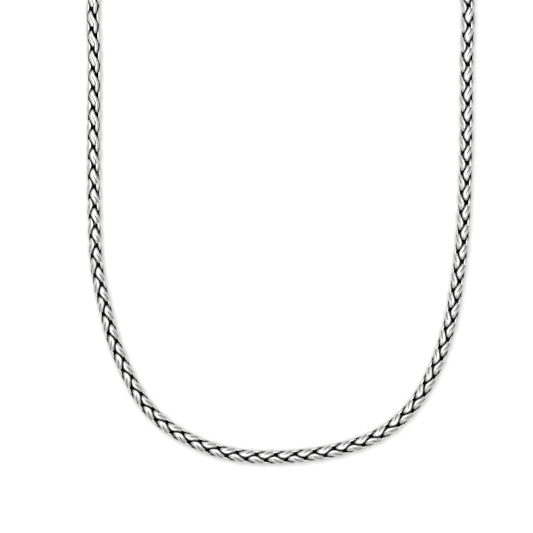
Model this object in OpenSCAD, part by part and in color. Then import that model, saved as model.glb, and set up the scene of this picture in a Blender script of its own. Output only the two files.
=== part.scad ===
// Wheat chain: a silver neck chain of folded links that hook through each
// other two and two, laid down flat in a U and closed by a plain barrel.
// Lengths are in millimetres. The chain rests on z = 0, with Z up.

/* [Chain] */
// Width across the chain
chain_w = 5; // [4.7:0.1:5.4]
// Thickness of a link's wire
wire_d = 0.72; // [0.5:0.02:0.76]
// Least step from one link to the next along the chain
link_step = 3.5; // [3.4:0.05:4]

/* [Clasp] */
// Length of the barrel that closes the loop
clasp_len = 21; // [20:1:26]
// Width of the barrel
clasp_d = 7; // [6.6:0.1:9]
// Depth of the cup that holds each end of the chain
cup_depth = 8; // [7:0.5:9]
// Clearance between the chain and its cup, all round
cup_clear = 0.2; // [0.15:0.05:0.4]
// Rounding of the barrel's rims
rim_r = 0.3; // [0.1:0.05:0.3]

/* [Lie] */
// Turn of the chain about its own line, from its start to its end, in degrees
roll_total = 110; // [60:5:120]
// More turn that it takes down the left leg and gives back along the bottom
leg_turn = 30; // [10:5:35]
// Length over which the chain rises from the table to the clasp
rise_len = 22; // [15:1:40]

/* [Hidden] */
// Centre line of the chain seen from above, as [x, y] once round from the
// middle of the clasp: down the left leg, along the bottom, up the right leg
ROUTE = [
    [0, 98.5], [-12, 98.5], [-29.5, 97], [-47.5, 91.5], [-60.4, 81], [-66.6, 65.5], [-66.6, 40],
    [-66.8, 10], [-66.6, -12], [-65.8, -30], [-63, -45], [-58.7, -60.5], [-50.5, -77.5],
    [-41.5, -87.5], [-30, -94.2], [-18.5, -98], [-7, -99.3], [7, -98.8],
    [21.5, -96.3], [35.5, -91], [46.3, -82], [54.3, -69], [60.2, -52],
    [63.2, -35], [65.2, -16], [66.2, 11], [66.4, 40], [66.5, 65.5],
    [60.3, 81], [47.5, 91.5], [29.5, 97], [12, 98.5]
];
// Steps that round each stretch of the route
ROUND = 8;

// One half of a link's ring, which a half turn about the chain's line
// completes. Columns: azimuth about the line, distance from the line as a
// share of the wire's outermost line, place along the chain in link steps,
// and the azimuth that the wire's outer side faces
HALF = [
    [40, 1, 2.21, 40],
    [4, 1, 0, 4],
    [134, 1, 0.22, 140],
    [168.5, 1, 1.16, 168],
    [145, 0.28, 2.47, 192]
];
AZ = 0;
REACH = 1;
ALONG = 2;
FACING = 3;
// Every second link is the mirror image of the others about this azimuth
MIRROR = -45;
WIRE_SIDES = 5;
// The most that a bend's outer corner is drawn out
CORNER = 1.25;
// Share of the wire that its bends take outside the outermost line
BEND_ROOM = 0.54;
SMOOTH = 96;

// Route
N_ROUTE = len(ROUTE);
function corner(i) = ROUTE[(i + N_ROUTE) % N_ROUTE];
function curve(a, b, c, d, u) = 0.5 * (2 * b + (c - a) * u
    + (2 * a - 5 * b + 4 * c - d) * u * u + (3 * b - a - 3 * c + d) * u * u * u);
PATH = [for (i = [0:N_ROUTE - 1], k = [0:ROUND - 1])
    curve(corner(i - 1), corner(i), corner(i + 1), corner(i + 2), k / ROUND)];
N_PATH = len(PATH);
REACHED = [for (i = 0, s = 0; i <= N_PATH;
    s = s + norm(PATH[(i + 1) % N_PATH] - PATH[i % N_PATH]), i = i + 1) s];
LOOP_LEN = REACHED[N_PATH];
PATH_X = [for (i = [0:N_PATH]) [REACHED[i], PATH[i % N_PATH].x]];
PATH_Y = [for (i = [0:N_PATH]) [REACHED[i], PATH[i % N_PATH].y]];
function spot(s) = [lookup(s, PATH_X), lookup(s, PATH_Y)];
function unit(v) = v / norm(v);
function heading(s) = unit(spot(min(s + 1, LOOP_LEN)) - spot(max(s - 1, 0)));

// Places along the chain
LINE_R = chain_w / 2 - BEND_ROOM * wire_d;
CUP_END = clasp_len / 2 - cup_depth;
TAIL = link_step * 2.6;
CHAIN_LEN = LOOP_LEN - 2 * CUP_END - TAIL - wire_d;
N_LINKS = floor(CHAIN_LEN / link_step);
STEP = CHAIN_LEN / N_LINKS;
FIRST = CUP_END + wire_d;
MIDDLE = floor(N_LINKS / 2);

// Height of the chain's line, which rises to the clasp's axis at both ends
function ease(t) = t * t * (3 - 2 * t);
function near_clasp(s) = min(s, LOOP_LEN - s) - clasp_len / 2;
function lift(s) = 1 - ease(max(0, min(1, near_clasp(s) / rise_len)));
function line_z(s) = chain_w / 2 + (clasp_d - chain_w) / 2 * lift(s);
function bell(x) = exp(-x * x);
function roll(s) = let (x = s / LOOP_LEN)
    roll_total * (x - 0.18) + leg_turn * bell((x - 0.38) / 0.13);

// A point at azimuth a and distance r from the chain's line, s along it
function around(a, r, s) = let (p = spot(s), t = heading(s), w = a + roll(s))
    [p.x - r * sin(w) * t.y, p.y + r * sin(w) * t.x, line_z(s) + r * cos(w)];
function outward(a, s) = let (t = heading(s), w = a + roll(s))
    [-sin(w) * t.y, sin(w) * t.x, cos(w)];

// Links
RING = [for (turn = [0, 180], c = HALF) [c[AZ] + turn, c[REACH], c[ALONG], c[FACING] + turn]];
N_RING = len(RING);
function side(k, a) = k % 2 == 0 ? a : 2 * MIRROR - a;
function place(k, c) = FIRST + (k + c[ALONG]) * STEP;
function link_line(k) = [for (c = RING) around(side(k, c[AZ]), c[REACH] * LINE_R, place(k, c))];
function link_outer(k) = [for (c = RING) outward(side(k, c[FACING]), place(k, c))];

// The wire's section at a corner, with its outer side first
function section(v, into, out_of, facing) =
    let (t = unit(into + out_of),
        b = unit(facing - (facing * t) * t),
        n = cross(t, b),
        bend = out_of - into,
        f = norm(bend) < 0.01 ? [0, 0, 0] : unit(bend),
        more = min(CORNER, 2 / norm(into + out_of)) - 1)
    [for (j = [0:WIRE_SIDES - 1])
        let (q = wire_d / 2 * (b * cos(j * 360 / WIRE_SIDES) + n * sin(j * 360 / WIRE_SIDES)))
        v + q + f * (q * f) * more];
function link_points(k) = let (v = link_line(k), o = link_outer(k))
    [for (i = [0:N_RING - 1])
        let (a = v[(i + N_RING - 1) % N_RING], b = v[i], c = v[(i + 1) % N_RING])
        for (p = section(b, unit(b - a), unit(c - b), o[i])) p];
function link_faces(first) = [for (i = [0:N_RING - 1], j = [0:WIRE_SIDES - 1])
    let (i2 = (i + 1) % N_RING, j2 = (j + 1) % WIRE_SIDES,
        a = first + i * WIRE_SIDES + j, b = first + i2 * WIRE_SIDES + j,
        c = first + i2 * WIRE_SIDES + j2, d = first + i * WIRE_SIDES + j2)
    for (f = [[a, b, c], [a, c, d]]) f];

module links(from, to) {
    per_link = N_RING * WIRE_SIDES;
    points = [for (k = [from:to], p = link_points(k)) p];
    faces = [for (k = [from:to], f = link_faces((k - from) * per_link)) f];
    polyhedron(points = points, faces = faces, convexity = 10);
}

module wheat_chain_left() {
    color("silver") links(0, MIDDLE - 1);
}

module wheat_chain_right() {
    color("silver") links(MIDDLE, N_LINKS - 1);
}

// A plain barrel with a cup in each end for the chain
module clasp() {
    outer_r = clasp_d / 2;
    cup_r = chain_w / 2 + cup_clear;
    half = clasp_len / 2;
    color("silver")
    translate([ROUTE[0].x, ROUTE[0].y, outer_r]) rotate([0, 90, 0]) difference() {
        rotate_extrude($fn = SMOOTH) polygon(concat(
            [[0, -half]],
            [for (a = [-90:15:0]) [outer_r - rim_r + rim_r * cos(a), -half + rim_r + rim_r * sin(a)]],
            [for (a = [0:15:90]) [outer_r - rim_r + rim_r * cos(a), half - rim_r + rim_r * sin(a)]],
            [[0, half]]));
        for (end = [-1, 1]) translate([0, 0, end * (half - cup_depth / 2 + 0.5)])
            cylinder(r = cup_r, h = cup_depth + 1, center = true, $fn = SMOOTH);
    }
}

wheat_chain_left();
wheat_chain_right();
clasp();
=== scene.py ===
"""Looks of a silver wheat chain: folded links hooked through each other, closed by a barrel.

Every length in the classes below is in millimetres and becomes metres where a mesh is made. The
chain runs along its route from the clasp, down the left leg, through the bottom and up the right
leg. A point of a link is given by its azimuth round the chain's line (before the plait is turned,
0 faces up and 90 faces the inside of the loop), its distance from that line and its distance
along it.
"""

from __future__ import annotations

import logging
import math
from collections.abc import Sequence
from dataclasses import dataclass
from enum import Enum

import bpy
from mathutils import Matrix, Vector
from mathutils.bvhtree import BVHTree

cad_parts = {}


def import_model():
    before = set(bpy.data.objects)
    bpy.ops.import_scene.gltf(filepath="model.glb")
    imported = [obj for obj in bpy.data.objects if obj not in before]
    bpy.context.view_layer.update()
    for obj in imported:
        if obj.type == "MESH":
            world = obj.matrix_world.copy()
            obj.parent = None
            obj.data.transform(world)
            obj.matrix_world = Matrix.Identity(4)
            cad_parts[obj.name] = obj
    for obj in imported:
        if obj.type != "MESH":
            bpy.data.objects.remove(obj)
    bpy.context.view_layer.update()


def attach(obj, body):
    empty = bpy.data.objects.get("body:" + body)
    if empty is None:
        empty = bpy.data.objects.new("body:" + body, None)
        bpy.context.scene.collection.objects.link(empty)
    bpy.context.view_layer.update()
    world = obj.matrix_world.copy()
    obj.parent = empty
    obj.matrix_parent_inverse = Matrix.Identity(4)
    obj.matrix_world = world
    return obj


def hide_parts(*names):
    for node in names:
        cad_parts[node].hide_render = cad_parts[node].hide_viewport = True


LOG = logging.getLogger("wheat_chain")
# One millimetre in the scene's metres
MM = 0.001
# Full width of the chain, which the link, the rise to the clasp and the clasp's cups follow
CHAIN_WIDTH = 5.0
# Name of the mesh attribute that holds how much of the sky a point sees, from which shade is
# painted
SKY = "sky"
# Turn from one ray to the next, in radians, which spreads the rays evenly over the sky
GOLDEN_TURN = 2.399963
# A Bezier handle is a sixth of the way between the knot's neighbours, which gives catmull's curve
HANDLES_ACROSS = 6


class Lie(Enum):
    """The two mirrored ways in which neighbouring links lie."""

    EVEN = 0
    ODD = 1


@dataclass(frozen=True)
class Station:
    """One chosen point on the wire of a link.

    Args:
        azimuth: direction from the chain's line, in degrees.
        reach: distance from the chain's line, as a share of the chain's width.
        along: place along the chain, in link steps.
        facing: azimuth that the wire's outer side faces, in degrees.
        girth: size of the wire's section there, as a share of the full one.
    """

    azimuth: float
    reach: float
    along: float
    facing: float
    girth: float = 1.0


@dataclass(frozen=True)
class Spacing:
    """How the links are spread over the loop.

    Args:
        start: place of link 0 along the loop.
        step: distance from link to link.
        count: number of links.
    """

    start: float
    step: float
    count: int


def ease(share: float) -> float:
    """Rises smoothly from 0 to 1 as share does, and stays level before and after."""
    t = max(0.0, min(1.0, share))
    return t * t * (3 - 2 * t)


def catmull(
    before: Sequence[float],
    start: Sequence[float],
    end: Sequence[float],
    after: Sequence[float],
    t: float,
) -> list[float]:
    """A point between start and end on the smooth curve through four rows of numbers.

    Args:
        before: row before the span.
        start: row where the span starts.
        end: row where the span ends.
        after: row after the span.
        t: place in the span, from 0 to 1.

    Returns:
        The row of numbers at t.
    """
    row = []
    for a, b, c, d in zip(before, start, end, after):
        square = 2 * a - 5 * b + 4 * c - d
        cube = 3 * b - 3 * c + d - a
        row.append(0.5 * (2 * b + (c - a) * t + square * t * t + cube * t**3))
    return row


def deselect() -> None:
    """Leaves nothing selected, in object mode."""
    if bpy.context.object and bpy.context.object.mode != "OBJECT":
        bpy.ops.object.mode_set(mode="OBJECT")
    bpy.ops.object.select_all(action="DESELECT")


def activate(obj: bpy.types.Object) -> None:
    """Makes an object the only selected and the active one.

    Args:
        obj: the object.
    """
    deselect()
    obj.select_set(True)
    bpy.context.view_layer.objects.active = obj


def copy_of(obj: bpy.types.Object) -> bpy.types.Object:
    """Copies an object with its mesh, and leaves the copy selected and active.

    Args:
        obj: the object.

    Returns:
        The copy.
    """
    activate(obj)
    bpy.ops.object.duplicate()
    return bpy.context.object


def select_vertices(mesh: bpy.types.Mesh, chosen: range) -> None:
    """Selects just these vertices of a mesh that is in edit mode.

    Args:
        mesh: mesh of the object in edit mode.
        chosen: numbers of the vertices.
    """
    bpy.ops.mesh.select_all(action="DESELECT")
    bpy.ops.object.mode_set(mode="OBJECT")
    for number in chosen:
        mesh.vertices[number].select = True
    bpy.ops.object.mode_set(mode="EDIT")


def turn(angle: float, axis: str, centre: Vector) -> None:
    """Turns what is selected in edit mode. With no window the operator itself turns the other way.

    Args:
        angle: angle in radians, by the right-hand rule.
        axis: global axis: X, Y or Z.
        centre: point that stays where it is.
    """
    bpy.ops.transform.rotate(
        value=-angle, orient_axis=axis, orient_type="GLOBAL", center_override=tuple(centre)
    )


@dataclass(frozen=True)
class Shadowing:
    """Measures how much of the sky each vertex of a piece sees.

    The silver's material paints shade black where little sky is seen and leaves it bright where
    much is.

    Args:
        reach: how far away a surface still hides the sky.
        rays: number of directions tried at each vertex.
        lift: how far above the surface the rays start.
        sunk: distance from the X axis up to which shade is painted whatever sky is seen.
        proud: distance past which the sky seen alone sets the painted shade. Where it is no more
            than sunk, the distance counts for nothing.
    """

    reach: float = 3.0
    rays: int = 64
    lift: float = 0.03
    sunk: float = 0.0
    proud: float = 0.0

    def depth_unshaded(self, point: Vector) -> float:
        """Share of a point kept free of painted shade, by its distance from the X axis.

        Args:
            point: the point, in metres.

        Returns:
            0 where it is sunk, 1 where it stands proud.
        """
        if self.proud <= self.sunk:
            return 1.0
        off_axis = math.hypot(point.y, point.z) / MM
        return ease((off_axis - self.sunk) / (self.proud - self.sunk))

    def open_sky(self, tree: BVHTree, point: Vector, normal: Vector) -> float:
        """Share of the rays from a point that meet nothing within reach.

        Args:
            tree: all the surfaces that may hide the sky.
            point: the point, in metres.
            normal: direction in which its surface faces.

        Returns:
            The share, from 0 to 1. Sky straight above counts for more than sky at the horizon.
        """
        side = normal.orthogonal().normalized()
        other = normal.cross(side)
        start = point + normal * self.lift * MM
        free = 0
        for ray in range(self.rays):
            spread = math.sqrt((ray + 0.5) / self.rays)
            angle = ray * GOLDEN_TURN
            flat = side * math.cos(angle) + other * math.sin(angle)
            way = flat * spread + normal * math.sqrt(1 - spread * spread)
            free += tree.ray_cast(start, way, self.reach * MM)[0] is None
        return free / self.rays

    def measure(
        self, piece: bpy.types.Object, around: list[tuple[bpy.types.Object, float]]
    ) -> list[float]:
        """Writes the share of open sky, cut down where deep, into a point attribute for painted
        shade.

        Args:
            piece: object whose vertices are measured.
            around: objects that may hide the sky, the piece too, each with its shift along X.

        Returns:
            The values, one a vertex.
        """
        points, faces = [], []
        for obj, shift in around:
            first = len(points)
            points += [v.co + Vector((shift * MM, 0, 0)) for v in obj.data.vertices]
            faces += [[first + v for v in p.vertices] for p in obj.data.polygons]
        tree = BVHTree.FromPolygons(points, faces)
        values = [
            self.open_sky(tree, v.co, v.normal) * self.depth_unshaded(v.co) for v in piece.data.vertices
        ]
        write_sky(piece, values)
        return values


def write_sky(piece: bpy.types.Object, values: list[float]) -> None:
    """Stores one share of open sky for each vertex of a piece."""
    attribute = piece.data.attributes.new(SKY, "FLOAT", "POINT")
    attribute.data.foreach_set("value", values)


@dataclass
class BarrelClasp:
    """The plain barrel that closes the loop, with a cup in each end for the chain.

    Args:
        middle: its middle, from above.
        length: its length.
        diameter: its diameter. It lies on the table, so its axis is half of this high.
        cup_depth: depth of each cup.
        cup_clearance: room between the chain and its cup, all round.
        rim: rounding of the rims.
        rim_faces: number of faces across a rounding.
        sides: number of sides of the round.
        smooth_angle: angle up to which neighbouring faces shade as one, in degrees.
        slack: how far off its place an edge or a face may be and still be found.
        sky_reach: how far away its own surface still hides the sky.
    """

    middle: tuple[float, float] = (0.0, 98.5)
    length: float = 21.0
    diameter: float = 7.0
    cup_depth: float = 8.0
    cup_clearance: float = 0.2
    rim: float = 0.3
    rim_faces: int = 4
    sides: int = 64
    smooth_angle: float = 40.0
    slack: float = 0.01
    sky_reach: float = 6.0

    def off_axis(self, point: Vector) -> float:
        """Distance of a point from the barrel's axis, in metres."""
        return math.hypot(point.y - self.middle[1] * MM, point.z - self.diameter / 2 * MM)

    def is_rim(self, start: Vector, end: Vector) -> bool:
        """Tells an edge that runs round one of the barrel's ends from all the others.

        Args:
            start: one end of the edge, in metres.
            end: its other end.

        Returns:
            Whether both lie in the plane of one end, and equally far from the axis.
        """
        slack = self.slack * MM
        at_an_end = abs(abs(start.x) - self.length / 2 * MM) < slack
        same_plane = abs(start.x - end.x) < slack
        same_round = abs(self.off_axis(start) - self.off_axis(end)) < slack
        return at_an_end and same_plane and same_round

    def sink_cup(self, barrel: bpy.types.Object, way: int) -> None:
        """Insets one end of the barrel and pushes it in as a cup.

        Args:
            barrel: the barrel, in edit mode.
            way: 1 for the end towards positive X, -1 for the other.
        """
        bpy.ops.mesh.select_mode(type="FACE")
        bpy.ops.mesh.select_all(action="DESELECT")
        bpy.ops.object.mode_set(mode="OBJECT")
        for face in barrel.data.polygons:
            face.select = abs(face.center.x - way * self.length / 2 * MM) < self.slack * MM
        bpy.ops.object.mode_set(mode="EDIT")
        cup_diameter = CHAIN_WIDTH + 2 * self.cup_clearance
        bpy.ops.mesh.inset(thickness=(self.diameter - cup_diameter) / 2 * MM)
        bpy.ops.mesh.extrude_region_move(
            TRANSFORM_OT_translate={"value": (-way * self.cup_depth * MM, 0, 0)}
        )

    def round_rims(self, barrel: bpy.types.Object) -> None:
        """Bevels the outer and the inner rim of both ends.

        Args:
            barrel: the barrel, in edit mode.
        """
        bpy.ops.mesh.select_mode(type="EDGE")
        bpy.ops.mesh.select_all(action="DESELECT")
        bpy.ops.object.mode_set(mode="OBJECT")
        points = barrel.data.vertices
        for edge in barrel.data.edges:
            start, end = (points[v].co for v in edge.vertices)
            edge.select = self.is_rim(start, end)
        bpy.ops.object.mode_set(mode="EDIT")
        bpy.ops.mesh.bevel(offset=self.rim * MM, segments=self.rim_faces, affect="EDGES")

    def build(self) -> bpy.types.Object:
        """Models the barrel from a cylinder with a cup sunk in each end and rounded rims.

        Returns:
            The barrel as one piece.
        """
        deselect()
        centre = (*self.middle, self.diameter / 2)
        bpy.ops.mesh.primitive_cylinder_add(
            vertices=self.sides,
            radius=self.diameter / 2 * MM,
            depth=self.length * MM,
            location=[c * MM for c in centre],
            rotation=(0, math.pi / 2, 0),
        )
        bpy.ops.object.transform_apply(location=True, rotation=True, scale=True)
        barrel = bpy.context.object
        barrel.name = barrel.data.name = "barrel_clasp"
        bpy.ops.object.mode_set(mode="EDIT")
        for way in (-1, 1):
            self.sink_cup(barrel, way)
        self.round_rims(barrel)
        bpy.ops.object.mode_set(mode="OBJECT")
        bpy.ops.object.shade_smooth_by_angle(angle=math.radians(self.smooth_angle))
        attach(barrel, "root")
        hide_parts("clasp")
        return barrel

    def dress(self, barrel: bpy.types.Object, silver: bpy.types.Material) -> None:
        """Measures the sky that the barrel sees, for the shade its silver paints, and gives it its
        silver.

        Args:
            barrel: the barrel.
            silver: its material.
        """
        Shadowing(reach=self.sky_reach).measure(barrel, [(barrel, 0.0)])
        barrel.data.materials.append(silver)


@dataclass
class Route:
    """The line on which the chain lies, as a smooth loop through chosen points.

    Args:
        clasp: barrel that both ends of the chain run into, and whose middle is on the loop.
        rise_length: stretch over which the chain rises from the table to the barrel's axis.
        roll_total: how far the plait turns from one end to the other, in degrees.
        roll_offset: share of the loop at which the plait isn't turned.
        leg_turn: further turn down the left leg, given back along the bottom, in degrees.
        leg_place: share of the loop at which that further turn is whole.
        leg_spread: share of the loop over which it comes and goes.
        wire_gap: distance from the first cup's floor to the place of link 0.
        link_step: least distance from link to link.
        tail_steps: what the last link takes past its own place, in link steps.
        points: chosen points from above, from one end of the clasp round to the other.
        samples: straight parts in which the length between two points is measured.
        bend_detail: straight parts of the guide between two points.
    """

    clasp: BarrelClasp
    rise_length: float = 22.0
    roll_total: float = 110.0
    roll_offset: float = 0.18
    leg_turn: float = 30.0
    leg_place: float = 0.38
    leg_spread: float = 0.13
    wire_gap: float = 0.72
    link_step: float = 3.5
    tail_steps: float = 2.6
    points: tuple[tuple[float, float], ...] = (
        (-12, 98.5), (-29.5, 97), (-47.5, 91.5), (-60.4, 81), (-66.6, 65.5), (-66.6, 40),
        (-66.8, 10), (-66.6, -12), (-65.8, -30), (-63, -45), (-58.7, -60.5), (-50.5, -77.5),
        (-41.5, -87.5), (-30, -94.2), (-18.5, -98), (-7, -99.3), (7, -98.8),
        (21.5, -96.3), (35.5, -91), (46.3, -82), (54.3, -69), (60.2, -52),
        (63.2, -35), (65.2, -16), (66.2, 11), (66.4, 40), (66.5, 65.5),
        (60.3, 81), (47.5, 91.5), (29.5, 97), (12, 98.5),
    )
    samples: int = 96
    bend_detail: int = 24

    def loop(self) -> list[tuple[float, float]]:
        """Lists the loop's points from above, with the clasp's middle first."""
        return [self.clasp.middle, *self.points]

    def reached(self) -> list[float]:
        """Works out how far along the loop each of its points is.

        Returns:
            Distances from the middle of the clasp, one a point, and the whole length last.
        """
        loop = self.loop()
        distances = [0.0]
        for i in range(len(loop)):
            four = [loop[(i + k - 1) % len(loop)] for k in range(4)]
            fine = [
                Vector((*catmull(*four, j / self.samples), 0)) for j in range(self.samples + 1)
            ]
            distances.append(distances[-1] + sum((b - a).length for a, b in zip(fine, fine[1:])))
        return distances

    def height(self, distance: float, whole: float) -> float:
        """Height of the chain's line above the table.

        Args:
            distance: place along the loop.
            whole: length of the loop.

        Returns:
            The height, which is the barrel's axis where the chain is inside it.
        """
        past_clasp = min(distance, whole - distance) - self.clasp.length / 2
        lift = 1 - ease(past_clasp / self.rise_length)
        return CHAIN_WIDTH / 2 + (self.clasp.diameter - CHAIN_WIDTH) / 2 * lift

    def roll(self, share: float) -> float:
        """Turn of the plait about the chain's line.

        Args:
            share: place along the loop, from 0 to 1.

        Returns:
            The turn in degrees.
        """
        bell = math.exp(-(((share - self.leg_place) / self.leg_spread) ** 2))
        return self.roll_total * (share - self.roll_offset) + self.leg_turn * bell

    def spacing(self) -> Spacing:
        """Spreads the links evenly, from one cup's floor to a step short of the other's.

        Returns:
            The place of link 0, the distance from link to link and their number.
        """
        cup_floor = self.clasp.length / 2 - self.clasp.cup_depth
        tail = self.link_step * self.tail_steps
        room = self.reached()[-1] - 2 * cup_floor - tail - self.wire_gap
        count = math.floor(room / self.link_step)
        return Spacing(cup_floor + self.wire_gap, room / count, count)

    def guide(self) -> bpy.types.Object:
        """Makes the curve that bends the straight chain into place and turns its plait.

        Returns:
            The curve object, which is a helper and isn't kept.
        """
        deselect()
        bpy.ops.curve.primitive_bezier_curve_add()
        guide = bpy.context.object
        guide.data.dimensions = "3D"
        guide.data.twist_mode = "Z_UP"
        guide.data.resolution_u = self.bend_detail
        loop = self.loop()
        count = len(loop)
        reached = self.reached()
        knots = guide.data.splines[0].bezier_points
        knots.add(count + 1 - len(knots))
        for i, knot in enumerate(knots):
            ahead, behind = loop[(i + 1) % count], loop[(i - 1) % count]
            near = [reached[max(0, min(count, i + k))] for k in (-1, 0, 1)]
            low, level, high = (self.height(distance, reached[-1]) for distance in near)
            across = Vector((ahead[0] - behind[0], ahead[1] - behind[1], high - low))
            middle = Vector((*loop[i % count], level))
            knot.handle_left_type = knot.handle_right_type = "FREE"
            knot.co = middle * MM
            knot.handle_left = (middle - across / HANDLES_ACROSS) * MM
            knot.handle_right = (middle + across / HANDLES_ACROSS) * MM
            knot.tilt = -math.radians(self.roll(reached[i] / reached[-1]))
        return guide


@dataclass
class WheatLink:
    """One link: a loop of wire folded double, with its bend behind and its two eyes ahead.

    Args:
        step: distance from link to link.
        wire_wide: the wire's size across the chain's surface.
        wire_thick: the wire's size towards the chain's line.
        rings: number of wire sections in the mesh.
        sides: number of points in a section.
        smooth: rows worked out from one station to the next.
        mirror: azimuth of the plane in which every second link is mirrored, in degrees.
        neighbours: links to each side that can hide the sky from one.
        sunk: distance from the chain's line up to which shade is painted black on its silver.
        proud: distance from which only the sky it sees sets the painted shade.
        stations: points on one half of the wire, which half a turn about the line completes.
    """

    step: float
    wire_wide: float = 1.5
    wire_thick: float = 1.05
    rings: int = 48
    sides: int = 8
    smooth: int = 12
    mirror: float = -45.0
    neighbours: int = 4
    sunk: float = 1.9
    proud: float = 2.3
    stations: tuple[Station, ...] = (
        Station(23, 0.365, 2.22, 23, 0.76),
        Station(25, 0.39, 1.92, 25, 0.88),
        Station(26, 0.395, 1.52, 26),
        Station(20, 0.395, 1.26, 20),
        Station(7, 0.395, 1.01, 7),
        Station(-5, 0.395, 0.82, -5),
        Station(-14, 0.395, 0.64, -14, 0.89),
        Station(-17, 0.39, 0.42, -17, 0.81),
        Station(-20, 0.37, 0.2, -20, 0.68),
        Station(-17, 0.315, 0.07, -16, 0.68),
        Station(2, 0.25, -0.01, 5, 0.62),
        Station(38, 0.19, -0.04, 45, 0.57),
        Station(75, 0.165, -0.02, 75, 0.57),
        Station(115, 0.165, 0.03, 115, 0.57),
        Station(144, 0.25, 0.07, 142, 0.62),
        Station(155, 0.36, 0.18, 155, 0.66),
        Station(151, 0.39, 0.42, 151, 0.82),
        Station(143, 0.395, 0.62, 143, 0.9),
        Station(146, 0.395, 0.86, 146),
        Station(156, 0.395, 1.08, 156),
        Station(167, 0.395, 1.26, 167),
        Station(174, 0.39, 1.44, 174),
        Station(180, 0.38, 1.62, 180, 0.81),
        Station(184, 0.335, 1.76, 184, 0.76),
        Station(172, 0.23, 1.87, 186, 0.62),
        Station(160, 0.14, 2.05, 190, 0.53),
        Station(180, 0.11, 2.28, 200, 0.53),
        Station(205, 0.22, 2.5, 209, 0.66),
    )

    def rows(self) -> list[list[float]]:
        """Lists the stations of both halves as plain rows.

        Returns:
            Rows of place along the chain, towards the loop's inside and up, facing and girth.
        """
        rows = []
        for half in (0, 180):
            for station in self.stations:
                angle = math.radians(station.azimuth + half)
                reach = station.reach * CHAIN_WIDTH
                along = station.along * self.step
                place = [along, reach * math.sin(angle), reach * math.cos(angle)]
                rows.append([*place, station.facing + half, station.girth])
        return rows

    def fine_rows(self) -> list[list[float]]:
        """Follows the wire's smooth line through all the stations.

        Returns:
            Rows like those of rows(), close together. The last is the first again, a turn on.
        """
        rows = self.rows()
        count = len(rows)
        fine = []
        for i in range(count):
            four = []
            for k in range(4):
                turns, number = divmod(i + k - 1, count)
                *place, facing, girth = rows[number]
                four.append([*place, facing + 360 * turns, girth])
            fine += [catmull(*four, j / self.smooth) for j in range(self.smooth)]
        *place, facing, girth = fine[0]
        fine.append([*place, facing + 360, girth])
        return fine

    def sections(self) -> list[tuple[Vector, Vector, Vector, float]]:
        """Spreads the wire's sections evenly along its smooth line.

        Returns:
            Each section's centre, direction of its outer side, direction of travel and girth.
        """
        fine = self.fine_rows()
        reached = [0.0]
        for a, b in zip(fine, fine[1:]):
            reached.append(reached[-1] + (Vector(b[:3]) - Vector(a[:3])).length)
        even, span = [], 0
        for i in range(self.rings):
            wanted = reached[-1] * i / self.rings
            while reached[span + 1] < wanted:
                span += 1
            t = (wanted - reached[span]) / (reached[span + 1] - reached[span])
            even.append([a + (b - a) * t for a, b in zip(fine[span], fine[span + 1])])
        made = []
        for i, (*place, facing, girth) in enumerate(even):
            ahead, behind = even[(i + 1) % self.rings], even[i - 1]
            travel = (Vector(ahead[:3]) - Vector(behind[:3])).normalized()
            angle = math.radians(facing)
            outer = Vector((0, math.sin(angle), math.cos(angle)))
            outer = (outer - travel * outer.dot(travel)).normalized()
            made.append((Vector(place), outer, travel, girth))
        return made

    def model(self) -> bpy.types.Object:
        """Models the even link: a torus whose sections are sized, turned and moved one by one.

        Returns:
            The link, lying along X with the chain's line on the X axis.
        """
        deselect()
        major = CHAIN_WIDTH * MM
        # The torus starts with wire 1 mm thick, so that a section's scale is its size
        bpy.ops.mesh.primitive_torus_add(
            major_segments=self.rings,
            minor_segments=self.sides,
            major_radius=major,
            minor_radius=0.5 * MM,
        )
        link = bpy.context.object
        link.name = "link_even"
        bpy.ops.object.mode_set(mode="EDIT")
        for i, (centre, outer, travel, girth) in enumerate(self.sections()):
            angle = 2 * math.pi * i / self.rings
            start = Vector((math.cos(angle), math.sin(angle), 0)) * major
            select_vertices(link.data, range(i * self.sides, (i + 1) * self.sides))
            turn(-angle, "Z", start)
            # Half a side's turn lays a flat of the section on its outer side
            turn(math.pi / self.sides, "Y", start)
            bpy.ops.transform.resize(
                value=(self.wire_thick * girth, 1, self.wire_wide * girth),
                center_override=tuple(start),
            )
            lie = Matrix((outer, travel, outer.cross(travel))).transposed().to_euler("XYZ")
            for axis, part in zip("XYZ", lie):
                turn(part, axis, start)
            bpy.ops.transform.translate(value=tuple(centre * MM - start))
        bpy.ops.mesh.select_all(action="SELECT")
        bpy.ops.mesh.normals_make_consistent(inside=False)
        bpy.ops.object.mode_set(mode="OBJECT")
        bpy.ops.object.shade_smooth()
        return link

    def mirrored(self, link: bpy.types.Object) -> bpy.types.Object:
        """Makes the odd link from the even one, mirrored in a plane through the chain's line.

        Args:
            link: the even link.

        Returns:
            The odd link.
        """
        other = copy_of(link)
        other.name = "link_odd"
        bpy.ops.object.mode_set(mode="EDIT")
        bpy.ops.mesh.select_all(action="SELECT")
        bpy.ops.transform.resize(value=(1, -1, 1), center_override=(0, 0, 0))
        turn(-math.radians(2 * self.mirror), "X", Vector())
        bpy.ops.mesh.normals_make_consistent(inside=False)
        bpy.ops.object.mode_set(mode="OBJECT")
        return other

    def build(self) -> dict[Lie, bpy.types.Object]:
        """Models both links and measures the sky that they see among their neighbours.

        Returns:
            The even and the odd link, which are helpers and aren't kept.
        """
        even = self.model()
        links = {Lie.EVEN: even, Lie.ODD: self.mirrored(even)}
        numbers = range(-self.neighbours, self.neighbours + 1)
        around = [(links[Lie(k % 2)], k * self.step) for k in numbers]
        # An odd link among its neighbours is the mirror image of an even one among its own
        sky = Shadowing(sunk=self.sunk, proud=self.proud).measure(even, around)
        write_sky(links[Lie.ODD], sky)
        return links


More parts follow.
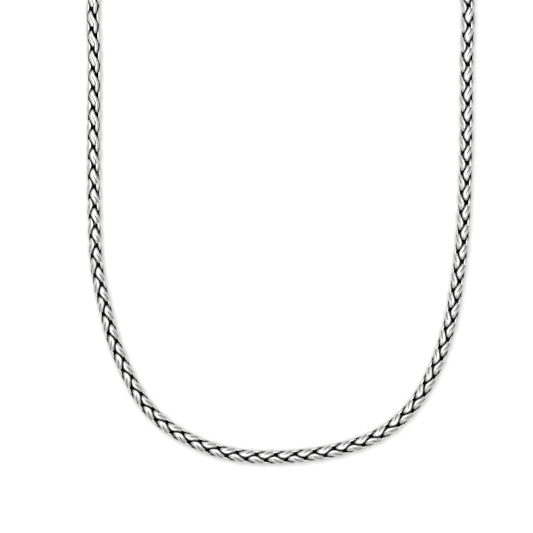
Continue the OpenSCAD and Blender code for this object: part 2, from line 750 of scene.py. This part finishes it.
@dataclass
class ChainRun:
    """A stretch of the chain: even and odd links in two rows, joined and bent along the guide.

    Args:
        name: name of the piece.
        node: CAD node that it stands for.
        first: number of its first link.
        last: number of its last link.
    """

    name: str
    node: str
    first: int
    last: int

    def row(self, link: bpy.types.Object, lie: Lie, spacing: Spacing) -> bpy.types.Object:
        """Lays out every second link of the run along X.

        Args:
            link: link to repeat.
            lie: whether it takes the even or the odd places.
            spacing: places of the links.

        Returns:
            The row of links as one mesh.
        """
        begin = self.first if self.first % 2 == lie.value else self.first + 1
        row = copy_of(link)
        bpy.ops.object.mode_set(mode="EDIT")
        bpy.ops.mesh.select_all(action="SELECT")
        shift = (spacing.start + begin * spacing.step) * MM
        bpy.ops.transform.translate(value=(shift, 0, 0))
        bpy.ops.object.mode_set(mode="OBJECT")
        bpy.ops.object.modifier_add(type="ARRAY")
        array = row.modifiers[-1]
        array.count = (self.last - begin) // 2 + 1
        array.use_relative_offset = False
        array.use_constant_offset = True
        array.constant_offset_displace = (2 * spacing.step * MM, 0, 0)
        bpy.ops.object.modifier_apply(modifier=array.name)
        return row

    def build(
        self, links: dict[Lie, bpy.types.Object], guide: bpy.types.Object, spacing: Spacing
    ) -> bpy.types.Object:
        """Builds the run and lays it on the route.

        Args:
            links: the even and the odd link.
            guide: curve that the run follows.
            spacing: places of the links.

        Returns:
            The run as one piece.
        """
        rows = [self.row(links[lie], lie, spacing) for lie in Lie]
        activate(rows[0])
        rows[1].select_set(True)
        bpy.ops.object.join()
        run = bpy.context.object
        run.name = run.data.name = self.name
        bpy.ops.object.modifier_add(type="CURVE")
        bend = run.modifiers[-1]
        bend.object = guide
        bend.deform_axis = "POS_X"
        bpy.ops.object.modifier_apply(modifier=bend.name)
        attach(run, "root")
        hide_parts(self.node)
        return run

    def dress(self, run: bpy.types.Object, silver: bpy.types.Material) -> None:
        """Gives the run its silver, which paints shade from the sky measured on its links."""
        run.data.materials.append(silver)


def new_group(
    name: str, inputs: dict[str, float], outputs: Sequence[str]
) -> tuple[bpy.types.ShaderNodeTree, bpy.types.Node, bpy.types.Node]:
    """Starts a shader node group with named number sockets.

    Args:
        name: name of the group.
        inputs: names of the inputs, with the values that they have where none is given.
        outputs: names of the outputs.

    Returns:
        The group, the node that brings its inputs and the node that takes its outputs.
    """
    tree = bpy.data.node_groups.new(name, "ShaderNodeTree")
    for label, value in inputs.items():
        socket = tree.interface.new_socket(label, in_out="INPUT", socket_type="NodeSocketFloat")
        socket.default_value = value
    for label in outputs:
        tree.interface.new_socket(label, in_out="OUTPUT", socket_type="NodeSocketFloat")
    return tree, tree.nodes.new("NodeGroupInput"), tree.nodes.new("NodeGroupOutput")


def feed(
    tree: bpy.types.ShaderNodeTree,
    socket: bpy.types.NodeSocket,
    value: bpy.types.NodeSocket | float | tuple[float, ...],
) -> None:
    """Links another socket to an input, or writes a plain value into it.

    Args:
        tree: tree of both sockets.
        socket: the input.
        value: what it takes.
    """
    if isinstance(value, bpy.types.NodeSocket):
        tree.links.new(value, socket)
    else:
        socket.default_value = value


def add_noise(
    tree: bpy.types.ShaderNodeTree,
    scale: bpy.types.NodeSocket,
    detail: float,
    distortion: float = 0.0,
) -> bpy.types.NodeSocket:
    """Adds noise that is fixed to the object.

    Args:
        tree: tree that it goes into.
        scale: socket that gives its scale, per metre.
        detail: number of finer layers in it.
        distortion: how far it is swirled.

    Returns:
        The socket with its value.
    """
    place = tree.nodes.new("ShaderNodeTexCoord")
    noise = tree.nodes.new("ShaderNodeTexNoise")
    noise.inputs["Detail"].default_value = detail
    noise.inputs["Distortion"].default_value = distortion
    feed(tree, noise.inputs["Vector"], place.outputs["Object"])
    feed(tree, noise.inputs["Scale"], scale)
    return noise.outputs["Fac"]


def add_math(
    tree: bpy.types.ShaderNodeTree, operation: str, *values: bpy.types.NodeSocket | float
) -> bpy.types.NodeSocket:
    """Adds a math node.

    Args:
        tree: tree that it goes into.
        operation: Blender's name of what it does.
        values: what its inputs take, in order.

    Returns:
        The socket with its result.
    """
    node = tree.nodes.new("ShaderNodeMath")
    node.operation = operation
    for socket, value in zip(node.inputs, values):
        feed(tree, socket, value)
    return node.outputs[0]


def add_mix(
    tree: bpy.types.ShaderNodeTree,
    kind: str,
    share: bpy.types.NodeSocket,
    first: bpy.types.NodeSocket | float | tuple[float, ...],
    second: bpy.types.NodeSocket | float | tuple[float, ...],
) -> bpy.types.NodeSocket:
    """Adds a node that mixes two numbers or two colours.

    Args:
        tree: tree that it goes into.
        kind: FLOAT or RGBA.
        share: socket with the share of the second.
        first: what is left where the share is 0.
        second: what is left where it is 1.

    Returns:
        The socket with the mix.
    """
    node = tree.nodes.new("ShaderNodeMix")
    node.data_type = kind
    feed(tree, node.inputs["Factor"], share)
    feed(tree, node.inputs["A"], first)
    feed(tree, node.inputs["B"], second)
    return node.outputs["Result"]


def painted_shade_group() -> bpy.types.ShaderNodeTree:
    """Shared effect: shade painted black where silver sees little sky, none where it sees much.

    Returns:
        The group, with its mask: 0 where shade is painted in the recesses, 1 on the open tops.
    """
    tree, given, result = new_group(
        "recess_painted_shade",
        {
            "Sky": 1.0,
            "Black Below": 0.0,
            "Bright Above": 1.0,
            "Ragged": 0.0,
            "Grain Scale": 1600.0,
        },
        ["Rubbed"],
    )
    noise = add_noise(tree, given.outputs["Grain Scale"], detail=3.0)
    centred = add_math(tree, "SUBTRACT", noise, 0.5)
    ragged, sky = given.outputs["Ragged"], given.outputs["Sky"]
    moved = add_math(tree, "MULTIPLY_ADD", centred, ragged, sky)
    # Shade is painted where the share of sky is low, with a little noise on its edge
    band = tree.nodes.new("ShaderNodeMapRange")
    band.interpolation_type = "SMOOTHSTEP"
    feed(tree, band.inputs["Value"], moved)
    feed(tree, band.inputs["From Min"], given.outputs["Black Below"])
    feed(tree, band.inputs["From Max"], given.outputs["Bright Above"])
    feed(tree, result.inputs["Rubbed"], band.outputs["Result"])
    return tree


def polish_group() -> bpy.types.ShaderNodeTree:
    """Shared effect: the soft unevenness and fine marks of tumbled silver.

    Returns:
        The group, with a roughness, a share of duller tone and a height for bump.
    """
    tree, given, result = new_group(
        "tumble_polish",
        {
            "Base Roughness": 0.2,
            "Roughness Spread": 0.12,
            "Cloud Scale": 420.0,
            "Mark Scale": 2600.0,
            "Tone Spread": 0.1,
        },
        ["Roughness", "Tone", "Height"],
    )
    cloud = add_noise(tree, given.outputs["Cloud Scale"], detail=2.0)
    marks = add_noise(tree, given.outputs["Mark Scale"], detail=4.0, distortion=1.2)
    spread, base = given.outputs["Roughness Spread"], given.outputs["Base Roughness"]
    rough = add_math(tree, "MULTIPLY_ADD", cloud, spread, base)
    tone = add_math(tree, "MULTIPLY", cloud, given.outputs["Tone Spread"])
    feed(tree, result.inputs["Roughness"], rough)
    feed(tree, result.inputs["Tone"], tone)
    feed(tree, result.inputs["Height"], marks)
    return tree


@dataclass(frozen=True)
class SilverWithPaintedShade:
    """Silver with shade painted black into its recesses, where little sky is seen.

    Args:
        name: name of the material.
        bright: colour of the silver where no shade is painted.
        dull: colour of its duller clouds.
        black: colour of the shade painted in the recesses.
        black_below: share of sky under which the painted shade is whole.
        bright_above: share of sky over which no shade is painted.
        ragged: how uneven the line between them is.
        base_roughness: roughness of the brightest polish.
        black_roughness: roughness in the recesses.
        bump: strength of the fine marks.
        mark_depth: depth of the fine marks, in millimetres.
    """

    name: str
    bright: tuple[float, float, float]
    dull: tuple[float, float, float]
    black: tuple[float, float, float]
    black_below: float
    bright_above: float
    ragged: float
    base_roughness: float
    black_roughness: float
    bump: float
    mark_depth: float = 0.05

    def build(
        self, painted_shade: bpy.types.ShaderNodeTree, polish: bpy.types.ShaderNodeTree
    ) -> bpy.types.Material:
        """Makes the material from the shared effects.

        Args:
            painted_shade: the group that masks the shade painted black in the recesses.
            polish: the group with the unevenness of the polish.

        Returns:
            The material.
        """
        material = bpy.data.materials.new(self.name)
        material.use_nodes = True
        tree = material.node_tree
        shader = tree.nodes["Principled BSDF"]
        shader.inputs["Metallic"].default_value = 1.0
        sky = tree.nodes.new("ShaderNodeAttribute")
        sky.attribute_name = SKY
        recess = tree.nodes.new("ShaderNodeGroup")
        recess.node_tree = painted_shade
        recess.inputs["Black Below"].default_value = self.black_below
        recess.inputs["Bright Above"].default_value = self.bright_above
        recess.inputs["Ragged"].default_value = self.ragged
        feed(tree, recess.inputs["Sky"], sky.outputs["Fac"])
        surface = tree.nodes.new("ShaderNodeGroup")
        surface.node_tree = polish
        surface.inputs["Base Roughness"].default_value = self.base_roughness

        unshaded, tone = recess.outputs["Rubbed"], surface.outputs["Tone"]
        silver = add_mix(tree, "RGBA", tone, (*self.bright, 1), (*self.dull, 1))
        # Painted shade: the black goes where the mask finds little sky
        colour = add_mix(tree, "RGBA", unshaded, (*self.black, 1), silver)
        polished = surface.outputs["Roughness"]
        rough = add_mix(tree, "FLOAT", unshaded, self.black_roughness, polished)
        bump = tree.nodes.new("ShaderNodeBump")
        bump.inputs["Strength"].default_value = self.bump
        bump.inputs["Distance"].default_value = self.mark_depth * MM
        feed(tree, bump.inputs["Height"], surface.outputs["Height"])
        feed(tree, shader.inputs["Base Color"], colour)
        feed(tree, shader.inputs["Roughness"], rough)
        feed(tree, shader.inputs["Normal"], bump.outputs["Normal"])
        return material


# Both silvers paint shade black where little sky is seen
CHAIN_SILVER = SilverWithPaintedShade(
    name="silver_links_painted_shade",
    bright=(0.67, 0.67, 0.662),
    dull=(0.4, 0.4, 0.395),
    black=(0.006, 0.006, 0.006),
    black_below=0.44,
    bright_above=0.62,
    ragged=0.08,
    base_roughness=0.3,
    black_roughness=0.6,
    bump=0.15,
)
CLASP_SILVER = SilverWithPaintedShade(
    name="polished_silver_barrel",
    bright=(0.76, 0.76, 0.75),
    dull=(0.5, 0.5, 0.494),
    black=(0.02, 0.02, 0.02),
    black_below=0.12,
    bright_above=0.5,
    ragged=0.05,
    base_roughness=0.2,
    black_roughness=0.5,
    bump=0.12,
)


@dataclass(frozen=True)
class MattWhite:
    """The table's plain white.

    Args:
        name: name of the material.
        colour: its colour.
        roughness: its roughness.
        shine: how much it still mirrors.
    """

    name: str = "matt_white_table"
    colour: tuple[float, float, float] = (0.92, 0.92, 0.92)
    roughness: float = 0.9
    shine: float = 0.2

    def build(self) -> bpy.types.Material:
        """Makes the material.

        Returns:
            The material.
        """
        material = bpy.data.materials.new(self.name)
        material.use_nodes = True
        shader = material.node_tree.nodes["Principled BSDF"]
        shader.inputs["Base Color"].default_value = (*self.colour, 1)
        shader.inputs["Roughness"].default_value = self.roughness
        shader.inputs["Specular IOR Level"].default_value = self.shine
        return material


@dataclass
class Studio:
    """The plain white table, the soft light and the camera straight above.

    Args:
        frame_centre: point of the table in the middle of the picture.
        frame_width: width that the picture takes in, at the height of the chain's line.
        lens: focal length of the camera.
        sensor: width of its sensor.
        clip_start: nearest distance that it sees.
        table_size: side of the table.
        world_light: strength of the light from all round.
        box_place: middle of the soft box.
        box_tilt: its turns about X and Y from facing straight down, in radians.
        box_size: its side.
        box_light: its power, in watts.
    """

    frame_centre: tuple[float, float] = (-5.1, -31.2)
    frame_width: float = 190.3
    lens: float = 150.0
    sensor: float = 36.0
    clip_start: float = 10.0
    table_size: float = 3000.0
    world_light: float = 0.6
    box_place: tuple[float, float, float] = (-100.0, 120.0, 900.0)
    box_tilt: tuple[float, float] = (-0.13, -0.11)
    box_size: float = 900.0
    box_light: float = 7.6

    def table(self) -> None:
        """Lays the white table under the chain."""
        deselect()
        bpy.ops.mesh.primitive_plane_add(size=self.table_size * MM, location=(0, 0, 0))
        table = bpy.context.object
        table.name = "table"
        table.data.materials.append(MattWhite().build())

    def light(self) -> None:
        """Sets the even light from all round and one large soft box overhead."""
        world = bpy.data.worlds.new("studio")
        bpy.context.scene.world = world
        world.use_nodes = True
        background = world.node_tree.nodes["Background"]
        background.inputs["Color"].default_value = (1, 1, 1, 1)
        background.inputs["Strength"].default_value = self.world_light
        deselect()
        bpy.ops.object.light_add(
            type="AREA", location=[c * MM for c in self.box_place], rotation=(*self.box_tilt, 0)
        )
        box = bpy.context.object
        box.name = "soft_box"
        box.data.shape = "SQUARE"
        box.data.size = self.box_size * MM
        box.data.energy = self.box_light

    def camera(self) -> None:
        """Hangs the camera straight above the loop, as in the photograph."""
        deselect()
        height = self.frame_width * self.lens / self.sensor + CHAIN_WIDTH / 2
        bpy.ops.object.camera_add(
            location=[c * MM for c in (*self.frame_centre, height)], rotation=(0, 0, 0)
        )
        camera = bpy.context.object
        camera.data.lens = self.lens
        camera.data.sensor_width = self.sensor
        camera.data.clip_start = self.clip_start * MM
        bpy.context.scene.camera = camera
        bpy.context.scene.view_settings.view_transform = "Standard"


def main() -> None:
    """Builds the chain, the clasp and the studio in order."""
    logging.basicConfig(level=logging.INFO, format="%(name)s: %(message)s")
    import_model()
    studio = Studio()
    studio.camera()

    clasp = BarrelClasp()
    route = Route(clasp)
    spacing = route.spacing()
    whole = route.reached()[-1]
    LOG.info("%d links, %.3f mm apart, on a loop of %.1f mm", spacing.count, spacing.step, whole)
    links = WheatLink(spacing.step).build()
    guide = route.guide()
    # The first group paints shade from the sky measured, the second gives the polish
    painted_shade, polish = painted_shade_group(), polish_group()
    chain_silver = CHAIN_SILVER.build(painted_shade, polish)
    middle = spacing.count // 2
    runs = (
        ChainRun("wheat_links_left", "wheat_chain_left", 0, middle - 1),
        ChainRun("wheat_links_right", "wheat_chain_right", middle, spacing.count - 1),
    )
    for run in runs:
        piece = run.build(links, guide, spacing)
        run.dress(piece, chain_silver)
        LOG.info("%s: links %d to %d", piece.name, run.first, run.last)
    for helper in (*links.values(), guide):
        bpy.data.objects.remove(helper)

    barrel = clasp.build()
    clasp.dress(barrel, CLASP_SILVER.build(painted_shade, polish))
    LOG.info("%s: %d faces", barrel.name, len(barrel.data.polygons))

    studio.table()
    studio.light()


if __name__ == "__main__":
    main()
